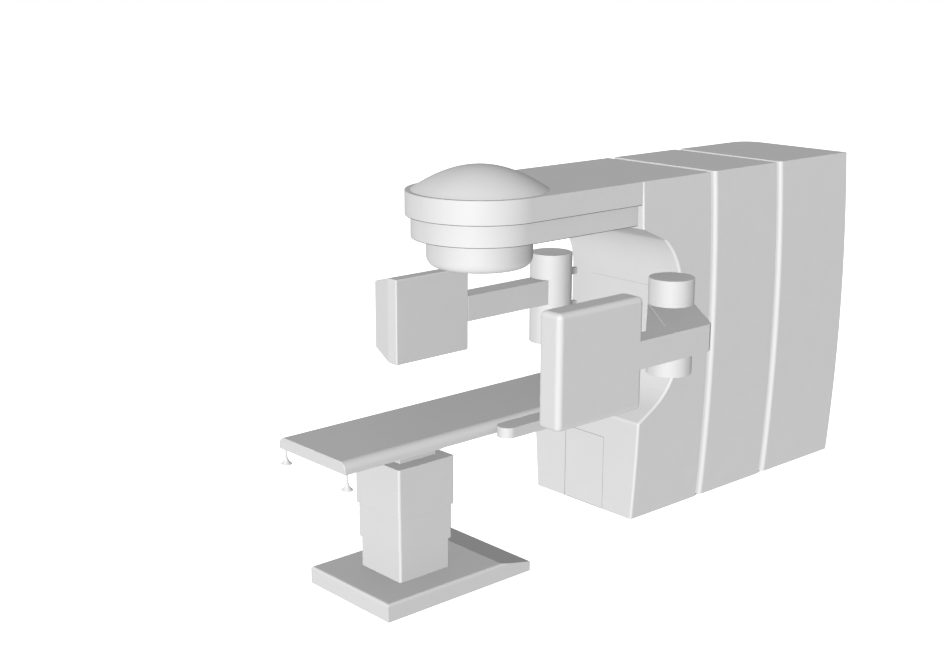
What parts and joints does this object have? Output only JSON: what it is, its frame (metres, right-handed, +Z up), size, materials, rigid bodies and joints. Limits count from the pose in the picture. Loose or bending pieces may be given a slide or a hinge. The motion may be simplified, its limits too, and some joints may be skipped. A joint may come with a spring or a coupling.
{
  "type": "radiotherapy linear accelerator with treatment couch",
  "caption": "C-arm radiotherapy machine: stand, turning gantry with treatment head, swinging kilovolt source and detector arms, and a treatment couch on a telescoping pedestal.",
  "frame": {"origin": "on the floor straight below the isocentre, at the underside of the couch's floor pivot", "axes": "+Y from the couch to the stand along the gantry's axis, +X to the right when facing the gantry, +Z up"},
  "size_m": [1.782, 4.3704, 2.4918],
  "materials": {
    "cover_shell": "satin white painted moulded shell",
    "arm_casting": "satin white painted casting",
    "couch_casing": "satin white painted sheet steel",
    "frame_steel": "satin grey paint",
    "machined_steel": "machined",
    "dark_steel": "blackened",
    "copper": "brazed copper",
    "iron": "painted casting",
    "tungsten": "sintered tungsten alloy",
    "light_plastic": "moulded",
    "dark_plastic": "moulded",
    "couch_skin": "laminate skin"
  },
  "bodies": {
    "stand": {"stand_plinth": "frame_steel", "stand_frame": "frame_steel", "stand_front_cover": "cover_shell", "stand_rear_cover": "cover_shell", "bearing_outer_ring": "dark_steel", "gantry_motor": "dark_steel", "modulator_cabinet": "frame_steel", "klystron": "copper", "rf_waveguide": "copper", "floor_pivot": "machined_steel"},
    "pinion": {"drive_pinion": "machined_steel"},
    "gantry": {"gantry_cover": "cover_shell", "gantry_frame": "frame_steel", "bearing_inner_ring": "machined_steel", "gantry_ring_gear": "machined_steel", "counterweight": "iron", "arm_upper_cover": "cover_shell", "arm_lower_cover": "cover_shell", "head_dome": "cover_shell", "accelerator_guide": "copper", "electron_gun": "machined_steel", "bending_magnet": "dark_steel", "primary_collimator": "tungsten", "collimator_bearing": "dark_steel", "access_panel": "cover_shell", "right_arm_post": "arm_casting", "right_arm_cap": "arm_casting", "left_arm_post": "arm_casting", "left_arm_cap": "arm_casting"},
    "collimator": {"collimator_housing": "cover_shell", "collimator_turntable": "machined_steel", "jaw_plate": "machined_steel", "beam_window": "light_plastic"},
    "left_jaw": {"x_jaw_left": "tungsten"},
    "right_jaw": {"x_jaw_right": "tungsten"},
    "front_jaw": {"y_jaw_front": "tungsten"},
    "rear_jaw": {"y_jaw_rear": "tungsten"},
    "source_arm": {"source_arm": "arm_casting", "source_housing": "cover_shell", "xray_tube": "machined_steel", "source_window": "dark_plastic"},
    "detector_arm": {"detector_arm": "arm_casting", "detector_housing": "cover_shell", "detector_face": "cover_shell", "flat_panel": "dark_plastic"},
    "couch_base": {"couch_base_plate": "couch_casing", "lower_sleeve": "couch_casing", "lift_cylinder": "dark_steel"},
    "couch_middle": {"middle_sleeve": "couch_casing", "lift_tube": "machined_steel"},
    "couch_upper": {"upper_sleeve": "couch_casing", "lift_rod": "machined_steel", "couch_neck": "couch_casing"},
    "couch_carriage": {"lateral_carriage": "frame_steel"},
    "couch_slide": {"couch_rails": "frame_steel", "couch_top": "couch_skin", "side_arm_board": "couch_skin"},
    "left_knob": {"left_release_knob": "light_plastic"},
    "right_knob": {"right_release_knob": "light_plastic"}
  },
  "joints": [
    {"name": "gantry_rotation", "type": "hinge", "parent": "stand", "child": "gantry", "pos_m": [0, 1.594, 1.483], "axis": [0, 1, 0], "range_deg": [-25, 90]},
    {"name": "pinion_spin", "type": "hinge", "parent": "stand", "child": "pinion", "pos_m": [0, 1.82, 1.108], "axis": [0, 1, 0], "range_deg": [-365, 105]},
    {"name": "collimator_rotation", "type": "hinge", "parent": "gantry", "child": "collimator", "pos_m": [0, 0, 2.066], "axis": [0, 0, 1], "range_deg": [-165, 165]},
    {"name": "left_jaw_travel", "type": "slide", "parent": "collimator", "child": "left_jaw", "axis": [1, 0, 0], "range_m": [-0.05, 0.039]},
    {"name": "right_jaw_travel", "type": "slide", "parent": "collimator", "child": "right_jaw", "axis": [1, 0, 0], "range_m": [-0.039, 0.05]},
    {"name": "front_jaw_travel", "type": "slide", "parent": "collimator", "child": "front_jaw", "axis": [0, 1, 0], "range_m": [-0.05, 0.039]},
    {"name": "rear_jaw_travel", "type": "slide", "parent": "collimator", "child": "rear_jaw", "axis": [0, 1, 0], "range_m": [-0.039, 0.05]},
    {"name": "source_arm_swing", "type": "hinge", "parent": "gantry", "child": "source_arm", "pos_m": [0.536, 1.1452, 1.483], "axis": [0, 0, -1], "range_deg": [-75, 0]},
    {"name": "detector_arm_swing", "type": "hinge", "parent": "gantry", "child": "detector_arm", "pos_m": [-0.536, 1.1452, 1.483], "axis": [0, 0, 1], "range_deg": [-90, 0]},
    {"name": "couch_rotation", "type": "hinge", "parent": "stand", "child": "couch_base", "pos_m": [0, 0, 0], "axis": [0, 0, -1], "range_deg": [-90, 90]},
    {"name": "couch_lift", "type": "slide", "parent": "couch_base", "child": "couch_middle", "axis": [0, 0, 1], "range_m": [-0.16, 0.08]},
    {"name": "couch_upper_lift", "type": "slide", "parent": "couch_middle", "child": "couch_upper", "axis": [0, 0, 1], "range_m": [-0.16, 0.08]},
    {"name": "couch_lateral", "type": "slide", "parent": "couch_upper", "child": "couch_carriage", "axis": [1, 0, 0], "range_m": [-0.2, 0.2]},
    {"name": "couch_longitudinal", "type": "slide", "parent": "couch_carriage", "child": "couch_slide", "axis": [0, -1, 0], "range_m": [-0.2, 0.55]},
    {"name": "left_knob_pull", "type": "slide", "parent": "couch_slide", "child": "left_knob", "axis": [0, 0, -1], "range_m": [0, 0.012], "stiffness_N_per_m": 300, "springref_m": -0.01},
    {"name": "right_knob_pull", "type": "slide", "parent": "couch_slide", "child": "right_knob", "axis": [0, 0, -1], "range_m": [0, 0.012], "stiffness_N_per_m": 300, "springref_m": -0.01}
  ],
  "couplings": [
    {"joint": "pinion_spin", "follows": "gantry_rotation", "ratio": -4},
    {"joint": "right_jaw_travel", "follows": "left_jaw_travel", "ratio": -1},
    {"joint": "rear_jaw_travel", "follows": "front_jaw_travel", "ratio": -1},
    {"joint": "couch_upper_lift", "follows": "couch_lift", "ratio": 1}
  ]
}
